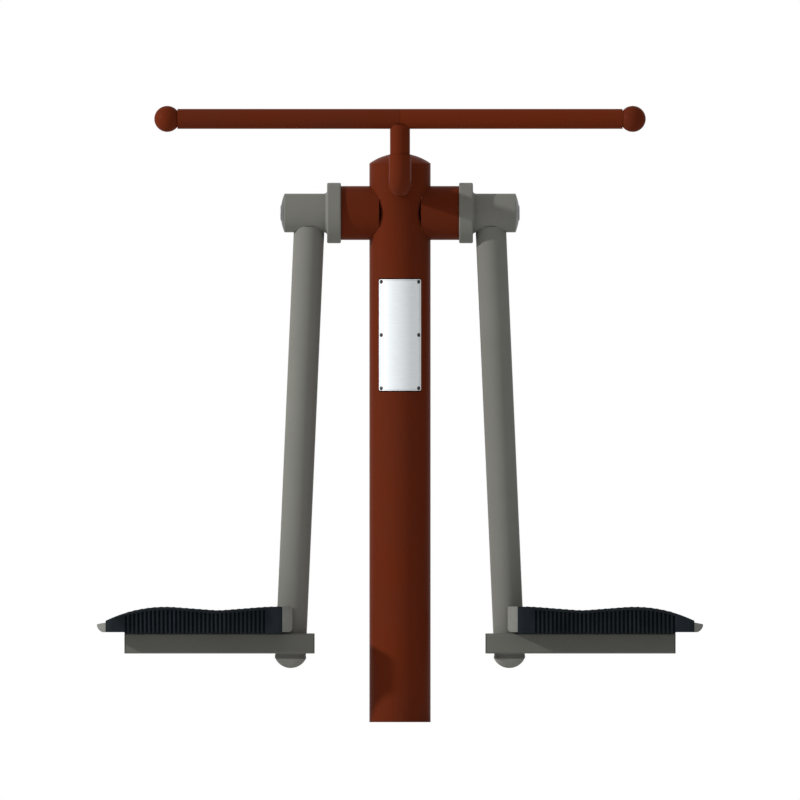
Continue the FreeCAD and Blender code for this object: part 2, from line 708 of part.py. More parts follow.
def make_housing(name, side):
    """The red housing, the end plate that carries the shaft, and the fixed stop lug on it."""
    housing = turned(
        f"{name}_axle_housing",
        [
            (HOUSING_ROOT, HOUSING_BORE),
            (HOUSING_END, HOUSING_BORE),
            (HOUSING_END, "housing_dia / 2 - edge_break"),
            (f"{HOUSING_END} - edge_break", "housing_dia / 2"),
            (HOUSING_ROOT, "housing_dia / 2"),
        ],
    )
    keep(place(housing, side, z="axle_height"))

    plate_rim = f"{HOUSING_BORE} - seat_gap"
    plate = turned(
        f"{name}_housing_end_plate",
        [
            (f"{HOUSING_END} - plate_thick", "shaft_dia / 2 + shaft_fit"),
            (HOUSING_END, "shaft_dia / 2 + shaft_fit"),
            (HOUSING_END, plate_rim),
            (f"{HOUSING_END} - plate_thick", plate_rim),
        ],
    )
    keep(place(plate, side, z="axle_height"))

    lug = block(f"{name}_stop_lug", "lug_long", "lug_wide", "lug_tall")
    place(lug, side, x=HOUSING_END, y="-lug_wide / 2", z=f"axle_height + {LUG_RADIUS}")
    keep(lug)


# Bearings: two to a side, inner rings on the shaft, outer rings in the hub


def make_bearings(name, side):
    inner_rings = []
    outer_rings = []
    cages = []
    balls = []
    track = "(ball_dia / 2 + ball_play)"
    half_mouth = f"sqrt({track}^2 - land_depth^2)"
    pitch = "ball_circle / 2"
    for start in (BEARING_ONE, BEARING_TWO):
        end = f"({start} + bearing_wide)"
        middle = f"({start} + bearing_wide / 2)"
        inner_ring = turned(
            f"{name}_inner_ring",
            [
                (start, "bearing_bore / 2 + shaft_fit"),
                (end, "bearing_bore / 2 + shaft_fit"),
                (end, f"{pitch} - land_depth"),
                (f"{middle} + {half_mouth}", f"{pitch} - land_depth"),
                (f"{middle} - {half_mouth}", f"{pitch} - land_depth", track, -1),
                (start, f"{pitch} - land_depth"),
            ],
        )
        inner_rings.append(place(inner_ring, side, z="axle_height"))
        outer_ring = turned(
            f"{name}_outer_ring",
            [
                (start, f"{pitch} + land_depth"),
                (f"{middle} - {half_mouth}", f"{pitch} + land_depth"),
                (f"{middle} + {half_mouth}", f"{pitch} + land_depth", track, -1),
                (end, f"{pitch} + land_depth"),
                (end, "bearing_dia / 2 - shaft_fit"),
                (start, "bearing_dia / 2 - shaft_fit"),
            ],
        )
        outer_rings.append(place(outer_ring, side, z="axle_height"))

        hoop = turned(
            f"{name}_cage_hoop",
            [
                (f"{middle} - cage_wide / 2", f"{pitch} - cage_thick / 2"),
                (f"{middle} + cage_wide / 2", f"{pitch} - cage_thick / 2"),
                (f"{middle} + cage_wide / 2", f"{pitch} + cage_thick / 2"),
                (f"{middle} - cage_wide / 2", f"{pitch} + cage_thick / 2"),
            ],
        )
        place(hoop, side, z="axle_height")
        pockets = []
        for number in range(BALLS):
            angle = 360 / BALLS * number
            spot = {
                "x": middle,
                "y": f"{pitch} * sin({angle})",
                "z": f"axle_height + {pitch} * cos({angle})",
            }
            ball = doc.addObject("Part::Sphere", f"{name}_ball")
            bind(ball, Radius="ball_dia / 2")
            balls.append(place(ball, side, **spot))
            pocket = doc.addObject("Part::Sphere", f"{name}_ball_pocket")
            bind(pocket, Radius="ball_dia / 2 + cage_play")
            pockets.append(place(pocket, side, **spot))
        cages.append(cut(f"{name}_cage", hoop, group(f"{name}_ball_pockets", pockets)))
    keep(group(f"{name}_bearing_inner_rings", inner_rings))
    keep(group(f"{name}_bearing_outer_rings", outer_rings))
    keep(group(f"{name}_bearing_cages", cages))
    keep(group(f"{name}_bearing_balls", balls))


# Hub: tube, flange with stop blocks and buffers, circlip, domed cap and stainless button


def around_axle(item, side, angle, x, across, out):
    """Place an item in a frame that is turned about the axle by an angle from straight up."""
    turn = Rotation(Vector(1, 0, 0), angle)
    y = f"({across}) * cos({angle}) - ({out}) * sin({angle})"
    z = f"({across}) * sin({angle}) + ({out}) * cos({angle})"
    return place(item, side, x=x, y=y, z=f"axle_height + {z}", turn=turn)


def make_hub(name, side):
    bore = "bearing_dia / 2"
    step = "bearing_dia / 2 - hub_step"
    groove = "bearing_dia / 2 + clip_depth"
    groove_end = f"({CLIP_PLACE} + clip_thick + clip_slack)"
    cap_rim = "(hub_dia / 2 - edge_break)"
    hub = turned(
        f"{name}_hub_tube",
        [
            (HUB_START, bore),
            (f"{BEARING_ONE} + bearing_wide", bore),
            (f"{BEARING_ONE} + bearing_wide", step),
            (BEARING_TWO, step),
            (BEARING_TWO, bore),
            (f"{CLIP_PLACE} - clip_slack", bore),
            (f"{CLIP_PLACE} - clip_slack", groove),
            (groove_end, groove),
            (groove_end, bore),
            (HUB_END, bore),
            (HUB_END, cap_rim),
            (f"{HUB_END} - edge_break", "hub_dia / 2"),
            (HUB_START, "hub_dia / 2"),
        ],
    )
    keep(place(hub, side, z="axle_height"))

    clip = turned(
        f"{name}_hub_circlip",
        [
            (CLIP_PLACE, f"{bore} - clip_reach"),
            (f"{CLIP_PLACE} + clip_thick", f"{bore} - clip_reach"),
            (f"{CLIP_PLACE} + clip_thick", f"{groove} - shaft_fit"),
            (CLIP_PLACE, f"{groove} - shaft_fit"),
        ],
        angle="360 - clip_opening",
    )
    keep(place(clip, side, z="axle_height"))

    rim = "(housing_dia / 2 + flange_gap + flange_rim)"
    weld = "hub_dia / 2 + seat_gap"
    cup_edge = f"({HOUSING_END} - flange_lap)"
    stop_in = f"({HOUSING_END} + stop_clear)"
    cup = turned(
        f"{name}_flange_cup",
        [
            (CUP_FLOOR, weld),
            (NECK_END, weld),
            (NECK_END, f"{weld} + neck_lip"),
            (FLANGE_FACE, f"{weld} + neck_lip + neck_long", "neck_long", -1),
            (FLANGE_FACE, f"{rim} - flange_round"),
            (f"{FLANGE_FACE} - flange_round", rim, "flange_round", 1),
            (f"{cup_edge} + flange_round", rim),
            (cup_edge, f"{rim} - flange_round", "flange_round", 1),
            (cup_edge, f"{rim} - flange_rim"),
            (CUP_FLOOR, f"{rim} - flange_rim"),
        ],
    )
    pieces = [place(cup, side, z="axle_height")]
    buffers = []
    for way in (1, -1):
        angle = way * value("stop_angle + stop_spare")
        reach = "lug_wide / 2 + buffer_thick"
        stop = block(
            f"{name}_stop_block",
            f"{CUP_FLOOR} - {stop_in} + edge_break",
            "block_thick",
            "block_tall",
        )
        across = f"-({reach}) - block_thick" if way > 0 else reach
        pieces.append(around_axle(stop, side, angle, stop_in, across, LUG_RADIUS))
        buffer = block(
            f"{name}_stop_buffer",
            "lug_long - stop_clear",
            "buffer_thick",
            "lug_tall - 2 * buffer_short",
        )
        across = f"-({reach})" if way > 0 else "lug_wide / 2"
        out = f"{LUG_RADIUS} + buffer_short"
        buffers.append(around_axle(buffer, side, angle, stop_in, across, out))
    keep(fuse(f"{name}_hub_flange", pieces))
    keep(group(f"{name}_stop_buffers", buffers))

    outer_bend = f"(({cap_rim}^2 + hub_cap_rise^2) / (2 * hub_cap_rise))"
    centre = f"({HUB_END} + hub_cap_rise - {outer_bend})"
    inner_bend = f"({outer_bend} - cap_wall)"
    skirt = f"({bore} - seat_gap)"
    inside = f"({skirt} - cap_wall)"
    cap = turned(
        f"{name}_hub_end_cap",
        [
            (f"{HUB_END} - hub_cap_skirt", inside),
            (f"{centre} + sqrt({inner_bend}^2 - {inside}^2)", inside),
            (f"{centre} + sqrt({inner_bend}^2 - {BUTTON_HOLE}^2)", BUTTON_HOLE, inner_bend, -1),
            (f"{centre} + sqrt({outer_bend}^2 - {BUTTON_HOLE}^2)", BUTTON_HOLE),
            (HUB_END, cap_rim, outer_bend, 1),
            (HUB_END, skirt),
            (f"{HUB_END} - hub_cap_skirt", skirt),
        ],
    )
    keep(place(cap, side, z="axle_height"))

    seat = f"({centre} + sqrt({outer_bend}^2 - {BUTTON_HOLE}^2) + seat_gap)"
    face = f"({seat} + button_thick)"
    stem = f"({BUTTON_HOLE} - seat_gap)"
    crown_radius = "(button_dia / 2 - button_lip)"
    crown_bend = f"({crown_radius}^2 + button_crown^2) / (2 * button_crown)"
    button = turned(
        f"{name}_cap_button",
        [
            (f"{seat} - cap_wall - button_thick", "0"),
            (f"{face} + button_crown", "0"),
            (face, crown_radius, crown_bend, 1),
            (f"{face} - button_lip", "button_dia / 2"),
            (seat, "button_dia / 2"),
            (seat, stem),
            (f"{seat} - cap_wall - button_thick", stem),
        ],
    )
    keep(place(button, side, z="axle_height"))


# Leg: a splayed tube coped to the hub, through the rail, with a domed cap on its end


def leg_turn():
    return Rotation(Vector(0, 1, 0), 180 - value("leg_splay"))


def leg_rod(label, side, radius):
    """A rod along the leg's axis, from the lips at the hub to the leg's lower end."""
    rod = cylinder(label, radius, f"(axle_height - leg_lip - {LEG_BASE}) / cos(leg_splay)")
    x = f"{LEG_ROOT} + leg_lip * {LEG_SWAY}"
    return place(rod, side, x=x, z="axle_height - leg_lip", turn=leg_turn())


def make_leg(name, side):
    hub = cylinder(f"{name}_leg_cope", "hub_dia / 2 + seat_gap", HUB_END)
    place(hub, side, z="axle_height", turn=AXIAL)
    outside = leg_rod(f"{name}_leg_outside", side, "leg_dia / 2")
    inside = leg_rod(f"{name}_leg_inside", side, "leg_dia / 2 - leg_wall")
    keep(cut(f"{name}_leg_tube", outside, inside, hub))

    plug = "(leg_dia / 2 - leg_wall - seat_gap)"
    inner = f"({plug} - cap_wall)"
    collar = "leg_cap_collar"
    inner_rise = "(leg_cap_rise - cap_wall)"
    outer_bend = "((leg_dia / 2)^2 + leg_cap_rise^2) / (2 * leg_cap_rise)"
    inner_bend = f"({inner}^2 + {inner_rise}^2) / (2 * {inner_rise})"
    cap = turned(
        f"{name}_leg_end_cap",
        [
            (inner, "-leg_cap_plug"),
            (plug, "-leg_cap_plug"),
            (plug, "0"),
            ("leg_dia / 2 + leg_cap_proud", "0"),
            ("leg_dia / 2 + leg_cap_proud", collar),
            ("leg_dia / 2", collar),
            ("0", f"{collar} + leg_cap_rise", outer_bend, 1),
            ("0", f"{collar} + {inner_rise}"),
            (inner, collar, inner_bend, -1),
        ],
        axis="V_Axis",
    )
    keep(place(cap, side, x=LEG_END, z=LEG_BASE, turn=leg_turn()))


# Foot rail: a rectangular tube around the leg's lower end, plugged at both ends


def rail_outline(shrink):
    """The rail's section, drawn in by an amount on every side."""
    return rounded(
        f"(-rail_wide / 2 + {shrink})",
        f"(rail_wide / 2 - {shrink})",
        f"(rail_top - rail_high + {shrink})",
        f"(rail_top - {shrink})",
        f"(rail_round - {shrink})",
    )


def screw_places():
    return [(x, f"{way} * screw_side") for x in (SCREW_NEAR, SCREW_FAR) for way in (1, -1)]


def make_rail(name, side):
    tube = pressed(
        f"{name}_rail_blank",
        "YZ_Plane",
        [rail_outline("0"), rail_outline("rail_wall")],
        "rail_long - 2 * plug_lip",
    )
    place(tube, side, x=f"{RAIL_INNER} + plug_lip")
    leg_hole = leg_rod(f"{name}_rail_leg_hole", side, "leg_dia / 2 + seat_gap")
    holes = []
    for x, y in screw_places():
        hole = cylinder(f"{name}_rail_hole", "screw_dia / 2 + screw_play", "rail_high")
        holes.append(place(hole, side, x=x, y=y, z="rail_top - rail_high / 2"))
    keep(cut(f"{name}_foot_rail", tube, leg_hole, group(f"{name}_rail_holes", holes)))

    nuts = []
    for x, y in screw_places():
        hexagon = doc.addObject("Part::Prism", f"{name}_rail_nut_hexagon")
        bind(hexagon, Circumradius="rail_nut_flats / sqrt(3)", Height="rail_nut_thick")
        bore = cylinder(f"{name}_rail_nut_bore", "screw_dia / 2 + thread_play", "rail_nut_thick")
        nut = cut(f"{name}_rail_nut", hexagon, bore)
        nuts.append(place(nut, side, x=x, y=y, z="rail_top - rail_wall - rail_nut_thick"))
    keep(group(f"{name}_tread_nuts", nuts))

    plugs = []
    for lip_x, plug_x in (
        (RAIL_INNER, f"{RAIL_INNER} + plug_lip"),
        (f"{RAIL_OUTER} - plug_lip", f"{RAIL_OUTER} - plug_lip - plug_deep"),
    ):
        lip = pressed(f"{name}_plug_lip", "YZ_Plane", [rail_outline("0")], "plug_lip")
        core = pressed(
            f"{name}_plug_core", "YZ_Plane", [rail_outline("(rail_wall + seat_gap)")], "plug_deep"
        )
        place(lip, side, x=lip_x)
        place(core, side, x=plug_x)
        plugs.append(fuse(f"{name}_rail_plug", [lip, core]))
    keep(group(f"{name}_rail_end_plugs", plugs))


# Pedal: the ribbed tread, its grey nose and heel guards, and the screws that hold it


def pedal_plan(label, side):
    """The pedal seen from above, as a tall block that its pieces are trimmed to."""
    plan = pressed(
        label,
        "XY_Plane",
        [rounded(GUARD_END, NOSE_END, f"-{TREAD_SIDE}", TREAD_SIDE, "pedal_round")],
        "2 * rail_top",
    )
    return place(plan, side)


def above_rail(corners):
    """Lift an outline, given over the rail, to its place."""
    return [(corner[0], f"rail_top + {corner[1]}", *corner[2:]) for corner in corners]


def make_tread(name, side):
    profile = pressed(
        f"{name}_tread_profile",
        "XZ_Plane",
        [
            above_rail(
                [
                    (TREAD_INNER, "0"),
                    (RAIL_OUTER, "0"),
                    (RAIL_OUTER, "tread_lift"),
                    (TREAD_OUTER, "tread_lift"),
                    (TREAD_OUTER, "tread_nose_high - tread_nose_round"),
                    (f"{TREAD_OUTER} - tread_nose_round", "tread_nose_high", "tread_nose_round", 1),
                    (f"{TREAD_OUTER} - crest_back", "crest_high", "crest_bend", 1),
                    (f"{TREAD_OUTER} - dip_near", "dip_low"),
                    (f"{TREAD_OUTER} - dip_near - dip_long", "dip_low", "dip_bend", -1),
                    (f"{TREAD_INNER} + heel_long", "heel_low"),
                    (TREAD_INNER, "heel_high", "heel_bend", 1),
                ]
            )
        ],
        "tread_wide",
        middle=True,
    )
    place(profile, side)
    form = common(f"{name}_tread_form", profile, pedal_plan(f"{name}_tread_plan", side))

    # Side slots: a comb of blocks under the lowered form, kept out of the tread's core
    lowered = group(f"{name}_tread_lowered", [form])
    bind(lowered, **{"Placement.Base.z": "-slot_cover"})
    comb = []
    room = f"({TREAD_OUTER} - {TREAD_INNER} - slot_set - slot_back)"
    for number in range(int(value(f"{room} / slot_pitch")) + 1):
        tooth = block(f"{name}_comb_tooth", "slot_wide", "2 * tread_wide", "2 * heel_high")
        x = f"{TREAD_INNER} + slot_set + {number} * slot_pitch - slot_wide / 2"
        comb.append(place(tooth, side, x=x, y="-tread_wide", z="rail_top - slot_cover / 2"))
    teeth = common(f"{name}_slot_teeth", group(f"{name}_slot_comb", comb), lowered)
    core = block(f"{name}_tread_core", TREAD_OUTER, "tread_wide - 2 * slot_deep", "2 * rail_top")
    place(core, side, y=f"-{TREAD_SIDE} + slot_deep")
    slots = cut(f"{name}_side_slots", teeth, core)

    hollows = []
    middle = f"(({SCREW_NEAR} + {SCREW_FAR}) / 2)"
    inside = f"({TREAD_SIDE} - slot_deep - tread_skin)"
    for start, end, high in (
        (f"{SCREW_NEAR} + screw_boss", f"{middle} - hollow_rib / 2", "hollow_high"),
        (f"{middle} + hollow_rib / 2", f"{SCREW_FAR} - screw_boss", "hollow_high"),
        (f"{SCREW_FAR} + screw_boss", f"{RAIL_OUTER} - hollow_rib", "toe_hollow_high"),
    ):
        hollow = block(f"{name}_tread_hollow", f"{end} - ({start})", f"2 * {inside}", f"2 * {high}")
        hollows.append(place(hollow, side, x=start, y=f"-{inside}", z=f"rail_top - {high}"))

    bores = []
    for x, y in screw_places():
        hole = cylinder(f"{name}_tread_hole", "screw_dia / 2 + screw_play", "rail_top")
        bores.append(place(hole, side, x=x, y=y, z="rail_top - tread_lift"))
        sink = cylinder(f"{name}_tread_sink", "screw_sink", "rail_top")
        bores.append(place(sink, side, x=x, y=y, z="rail_top + screw_floor"))
    screw_holes = fuse(f"{name}_tread_holes", bores)

    notch = leg_rod(f"{name}_tread_notch", side, "leg_dia / 2 + leg_clear")
    keep(cut(f"{name}_tread", form, slots, group(f"{name}_tread_hollows", hollows), screw_holes, notch))


def make_pedal_ends(name, side):
    nose_top = "(tread_nose_high - nose_drop)"
    nose = pressed(
        f"{name}_nose_profile",
        "XZ_Plane",
        [
            above_rail(
                [
                    (TREAD_OUTER, "tread_lift"),
                    (f"{TREAD_OUTER} + nose_under", "tread_lift"),
                    (NOSE_END, f"{nose_top} - nose_slope - nose_lip", "nose_bend", 1),
                    (f"{NOSE_END} - nose_lip", f"{nose_top} - nose_slope"),
                    (TREAD_OUTER, nose_top),
                ]
            )
        ],
        "tread_wide",
        middle=True,
    )
    place(nose, side)
    keep(common(f"{name}_tread_nose", nose, pedal_plan(f"{name}_nose_plan", side)))

    guard_top = "(heel_high + guard_proud)"
    guard = pressed(
        f"{name}_guard_profile",
        "XZ_Plane",
        [
            above_rail(
                [
                    (f"{GUARD_END} + guard_round", "guard_lift", "guard_round", 1),
                    (TREAD_INNER, "guard_lift"),
                    (TREAD_INNER, guard_top),
                    (f"{GUARD_END} + guard_edge", guard_top),
                    (GUARD_END, f"{guard_top} - guard_edge", "guard_edge", 1),
                    (GUARD_END, "guard_lift + guard_round"),
                ]
            )
        ],
        "tread_wide",
        middle=True,
    )
    place(guard, side)
    whole = common(f"{name}_guard_form", guard, pedal_plan(f"{name}_guard_plan", side))
    notch = leg_rod(f"{name}_guard_notch", side, "leg_dia / 2 + leg_clear")
    keep(cut(f"{name}_heel_guards", whole, notch))


def make_screws(name, side):
    shank = "screw_dia / 2"
    head = "screw_head_dia / 2"
    tip = "(screw_floor + rail_wall + rail_nut_thick)"
    screws = []
    for x, y in screw_places():
        screw = turned(
            f"{name}_screw",
            [
                ("0", f"-{tip}"),
                (shank, f"-{tip}"),
                (shank, "0"),
                (head, "0"),
                (head, "screw_head_high - edge_break"),
                (f"{head} - edge_break", "screw_head_high"),
                ("screw_socket", "screw_head_high"),
                ("screw_socket", "screw_head_high - screw_socket_deep"),
                ("0", "screw_head_high - screw_socket_deep"),
            ],
            axis="V_Axis",
        )
        screws.append(place(screw, side, x=x, y=y, z="rail_top + screw_floor"))
    keep(group(f"{name}_tread_screws", screws))


make_post()
make_sign()
make_handle()
make_axle()
for side, name in ((1, "right"), (-1, "left")):
    make_housing(name, side)
    make_bearings(name, side)
    make_hub(name, side)
    make_leg(name, side)
    make_rail(name, side)
    make_tread(name, side)
    make_pedal_ends(name, side)
    make_screws(name, side)

doc.recompute()

for item in doc.Objects:
    if {"Invalid", "Error"} & set(item.State):
        raise RuntimeError(f"{item.Name} did not build: {item.State}")
for item in kept:
    if item.Shape.isNull() or not item.Shape.isValid() or not item.Shape.Solids:
        raise RuntimeError(f"{item.Label} has no valid solid")

for item in kept:
    item.Shape.exportStep(os.path.join("parts", item.Label + ".step"))
    print(item.Label, len(item.Shape.Solids), round(item.Shape.Volume))
print(len(kept), "pieces")
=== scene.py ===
import math

import bmesh
import bpy
from mathutils import Matrix, Vector


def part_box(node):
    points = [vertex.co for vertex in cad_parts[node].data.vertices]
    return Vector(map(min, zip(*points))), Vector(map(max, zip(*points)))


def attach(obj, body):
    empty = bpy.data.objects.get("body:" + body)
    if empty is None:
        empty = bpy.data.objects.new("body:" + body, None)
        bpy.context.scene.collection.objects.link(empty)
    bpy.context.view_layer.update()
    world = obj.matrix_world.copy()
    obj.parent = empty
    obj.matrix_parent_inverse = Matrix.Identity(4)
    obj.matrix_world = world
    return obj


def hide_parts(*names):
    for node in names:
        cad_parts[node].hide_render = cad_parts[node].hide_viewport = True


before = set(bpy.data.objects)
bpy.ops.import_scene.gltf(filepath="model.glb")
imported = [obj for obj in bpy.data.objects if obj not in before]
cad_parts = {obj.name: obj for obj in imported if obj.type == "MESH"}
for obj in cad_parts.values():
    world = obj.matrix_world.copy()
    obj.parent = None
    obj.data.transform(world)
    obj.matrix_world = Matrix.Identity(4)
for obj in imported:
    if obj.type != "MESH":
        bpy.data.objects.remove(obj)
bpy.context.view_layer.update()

# Post: a thick round steel tube, cut square at its foot, with a tapped plate welded inside it.
# It is powder coated red-brown in one go, and the coat is slightly wavy and uneven in tone.
# A thin line of painted shade darkens the coat along the upper and the lower edge of the sign
# plate.

RED = (98, 39, 19)
RED_DUSTY = (92, 42, 28)
RED_ROUGHNESS = 0.28
COAT_GLOSS = 0.008
COAT_IOR = 1.5
PATCH_SCALE = 9.0
PATCH_SHARE = 0.5
SPECKLE_SCALE = 420.0
SPECKLE_SHARE = 0.12
DULLING_SCALE = 35.0
DULLING = 0.08
PEEL_SCALE = 260.0
PEEL_DEPTH = 0.00002
# Colour, width and share of the painted shade line along the sign plate's upper and lower edge.
PLATE_EDGE_SHADE = (28, 10, 4)
PLATE_EDGE_SHADE_WIDTH = 0.0035
PLATE_EDGE_SHADE_SHARE = 0.9


class Value:
    """One output of a node tree, so that shader maths reads as plain maths."""

    def __init__(self, finish, socket):
        self.finish = finish
        self.socket = socket

    def maths(self, operation, *others):
        values = dict(enumerate((self, *others)))
        return self.finish.node("Math", {"operation": operation}, values).value(0)

    def size(self):
        """The value without its sign."""
        return self.maths("ABSOLUTE")

    def __add__(self, other):
        return self.maths("ADD", other)

    def __sub__(self, other):
        return self.maths("SUBTRACT", other)

    def __rsub__(self, other):
        return (self * -1.0) + other

    def __mul__(self, other):
        return self.maths("MULTIPLY", other)

    def __truediv__(self, other):
        return self.maths("DIVIDE", other)

    __radd__ = __add__
    __rmul__ = __mul__


class Node:
    """One node, whose outputs are read by number or name."""

    def __init__(self, finish, made):
        self.finish = finish
        self.made = made

    def value(self, name):
        return Value(self.finish, self.made.outputs[name])


class Finish:
    """A material in the making, whose surface is one Principled shader."""

    def __init__(self, name, **constants):
        self.material = bpy.data.materials.new(name)
        self.material.use_nodes = True
        self.tree = self.material.node_tree
        self.tree.nodes.clear()
        self.surface = self.node("BsdfPrincipled", {}, constants)
        self.output = self.node("OutputMaterial", {}, {"Surface": self.surface.value(0)})
        self.place = self.node("TexCoord", {}, {}).value("Object")

    def node(self, kind, settings, sockets):
        """Add a node; its settings are made before its sockets are linked or given a value."""
        plain = kind.startswith(("Geometry", "Function", "NodeGroup"))
        made = self.tree.nodes.new(kind if plain else "ShaderNode" + kind)
        for name, setting in settings.items():
            if name == "stops":
                ramp = made.color_ramp.elements
                while len(ramp) < len(setting):
                    ramp.new(1.0)
                for stop, (place, tone) in zip(ramp, setting):
                    stop.position = place
                    stop.color = (tone, tone, tone, 1.0)
            else:
                setattr(made, name, setting)
        for name, given in sockets.items():
            if isinstance(given, Value):
                self.tree.links.new(given.socket, made.inputs[name])
            else:
                made.inputs[name].default_value = given
        return Node(self, made)

    def set(self, **sockets):
        """Feed the shader; an underscore stands for a space in a socket's name."""
        for name, given in sockets.items():
            self.tree.links.new(given.socket, self.surface.made.inputs[name.replace("_", " ")])
        return self.material

    def axes(self, vector):
        """The three numbers of a vector."""
        parts = self.node("SeparateXYZ", {}, {0: vector})
        return parts.value(0), parts.value(1), parts.value(2)

    def noise(self, scale, detail=2.0, stretch=(1.0, 1.0, 1.0)):
        """Noise from about 0 to 1, whose scale is in features for each metre."""
        place = self.node("Mapping", {}, {"Vector": self.place, "Scale": stretch}).value(0)
        sockets = {"Vector": place, "Scale": scale, "Detail": detail}
        return self.node("TexNoise", {}, sockets).value(0)

    def ramp(self, value, *stops):
        """A grey ramp; each stop is a place and the tone there."""
        return self.node("ValToRGB", {"stops": stops}, {0: value}).value(0)

    def mix(self, share, first, second):
        """Blend two colours, which are the node's sockets 6 and 7; share 0 gives the first."""
        first, second = (
            colour if isinstance(colour, Value) else (*colour, 1.0) for colour in (first, second)
        )
        sockets = {0: share, 6: first, 7: second}
        return self.node("Mix", {"data_type": "RGBA"}, sockets).value(2)

    def bump(self, height, depth):
        """A normal from a height of 0 to 1 that is worth depth metres."""
        return self.node("Bump", {}, {"Height": height, "Distance": depth}).value(0)


def shade(colour):
    """A display colour, 0 to 255 each, as the linear colour that the shader takes."""
    return tuple(
        tone / 12.92 if tone <= 0.04045 else ((tone + 0.055) / 1.055) ** 2.4
        for tone in (level / 255.0 for level in colour)
    )


def coated(name, colour, dusty, roughness):
    """Powder coat: slightly uneven in colour, with orange peel and a few duller patches."""
    coat = Finish(name, **{"IOR": COAT_IOR, "Specular IOR Level": COAT_GLOSS})
    patches = coat.ramp(coat.noise(PATCH_SCALE, detail=3.0), (0.35, 0.0), (0.7, 1.0))
    speckles = coat.ramp(coat.noise(SPECKLE_SCALE), (0.62, 0.0), (0.75, 1.0))
    patched = coat.mix(patches * PATCH_SHARE, shade(colour), shade(dusty))
    coat.tone = coat.mix(speckles * SPECKLE_SHARE, patched, shade(dusty))
    coat.set(
        Base_Color=coat.tone,
        Roughness=coat.noise(DULLING_SCALE, detail=3.0) * DULLING + roughness,
        Normal=coat.bump(coat.noise(PEEL_SCALE, detail=1.0), PEEL_DEPTH),
    )
    return coat


def dress(material, *nodes):
    """Give CAD pieces their finish."""
    for name in nodes:
        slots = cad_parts[name].data.materials
        slots.clear()
        slots.append(material)


red_coat = coated("red_brown_coat", RED, RED_DUSTY, RED_ROUGHNESS).material
post_coat = coated("post_coat", RED, RED_DUSTY, RED_ROUGHNESS)
plate_low, plate_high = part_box("sign_plate")
plate_middle = (plate_high[2] + plate_low[2]) / 2
plate_half = (plate_high[2] - plate_low[2]) / 2
across, deep, level = post_coat.axes(post_coat.place)
past_plate = (level - plate_middle).size() - plate_half
at_plate = across.size().maths("LESS_THAN", plate_high[0]) * deep.maths("LESS_THAN", 0.0)
# Painted shade: the post's coat is darkened in a thin line just past the plate's upper and lower
# edge.
plate_edge_shade = post_coat.ramp(past_plate / PLATE_EDGE_SHADE_WIDTH, (0.0, 1.0), (0.5, 1.0), (0.8, 0.0)) * at_plate
post_coat.set(Base_Color=post_coat.mix(plate_edge_shade * PLATE_EDGE_SHADE_SHARE, post_coat.tone, shade(PLATE_EDGE_SHADE)))
dress(post_coat.material, "post_tube")
dress(red_coat, "foot_plate")

# Dome: a pressed steel cap on the post's upper end. Its skirt is let into the tube,
# and it is welded round and coated together with the post.

dress(red_coat, "post_dome_cap")

# Axle housings: two short tubes welded into the post's sides, closed by a turned plate each.
# A small lug on each plate stops the leg's swing. All of it has the post's coat.

SIDES = ("left", "right")

for side in SIDES:
    dress(red_coat, f"{side}_axle_housing", f"{side}_housing_end_plate", f"{side}_stop_lug")

# Handle: a bent socket out of the post's front takes the stem, and the bar ends in two knobs.
# The bar is two lengths of tube, butted over the stem, and its right half is painted a lighter red
# as painted light.

RIGHT_HALF_PAINTED_LIGHT = (126, 48, 18)
RIGHT_HALF_LIGHT_SHARE = 0.28
SEAM = (30, 12, 8)
SEAM_SHARE = 0.75
SEAM_SPAN = 0.0025
SEAM_DEPTH = 0.0002

dress(red_coat, "handle_elbow", "handle_stem")
for side in SIDES:
    dress(red_coat, f"{side}_handle_knob")

# No shadow of the bar or its knobs is seen on the post, so they throw none.
for name in ("handle_bar", "left_handle_knob", "right_handle_knob"):
    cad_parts[name].visible_shadow = False

bar_coat = coated("bar_coat", RED, RED_DUSTY, RED_ROUGHNESS)
dress(bar_coat.material, "handle_bar")
along_bar = bar_coat.axes(bar_coat.place)[0]
# Painted light: the right half of the bar is mixed toward a lighter red than the left half.
right_half = along_bar.maths("GREATER_THAN", 0.0) * RIGHT_HALF_LIGHT_SHARE
painted_light_halves = bar_coat.mix(right_half, bar_coat.tone, shade(RIGHT_HALF_PAINTED_LIGHT))
seam = bar_coat.ramp(
    along_bar / SEAM_SPAN + 0.5, (0.36, 0.0), (0.46, 1.0), (0.54, 1.0), (0.64, 0.0)
)
peel = bar_coat.noise(PEEL_SCALE, detail=1.0) * (PEEL_DEPTH / SEAM_DEPTH)
bar_coat.set(
    Base_Color=bar_coat.mix(seam * SEAM_SHARE, painted_light_halves, shade(SEAM)),
    Normal=bar_coat.bump(peel - seam, SEAM_DEPTH),
)

# Sign plate: thin aluminium sheet, rolled to the post's curve, brushed across and left bare.
# A fine line is engraved along its border, and six blind rivets hold it on the post.

PLATE = (241, 246, 249)
PLATE_BORDER = 0.0026
PLATE_LINE = 0.0007
ENGRAVED = (120, 124, 128)
ENGRAVED_SHARE = 0.6
ENGRAVED_DEPTH = 0.0001
RIVET = (48, 46, 44)
METAL_IOR = 1.5
GRAIN_SCALE = 60.0
GRAIN_DEPTH = 0.00001
GRAIN_DULLING = 0.12
SMUDGE_SCALE = 14.0
SMUDGE_DULLING = 0.1


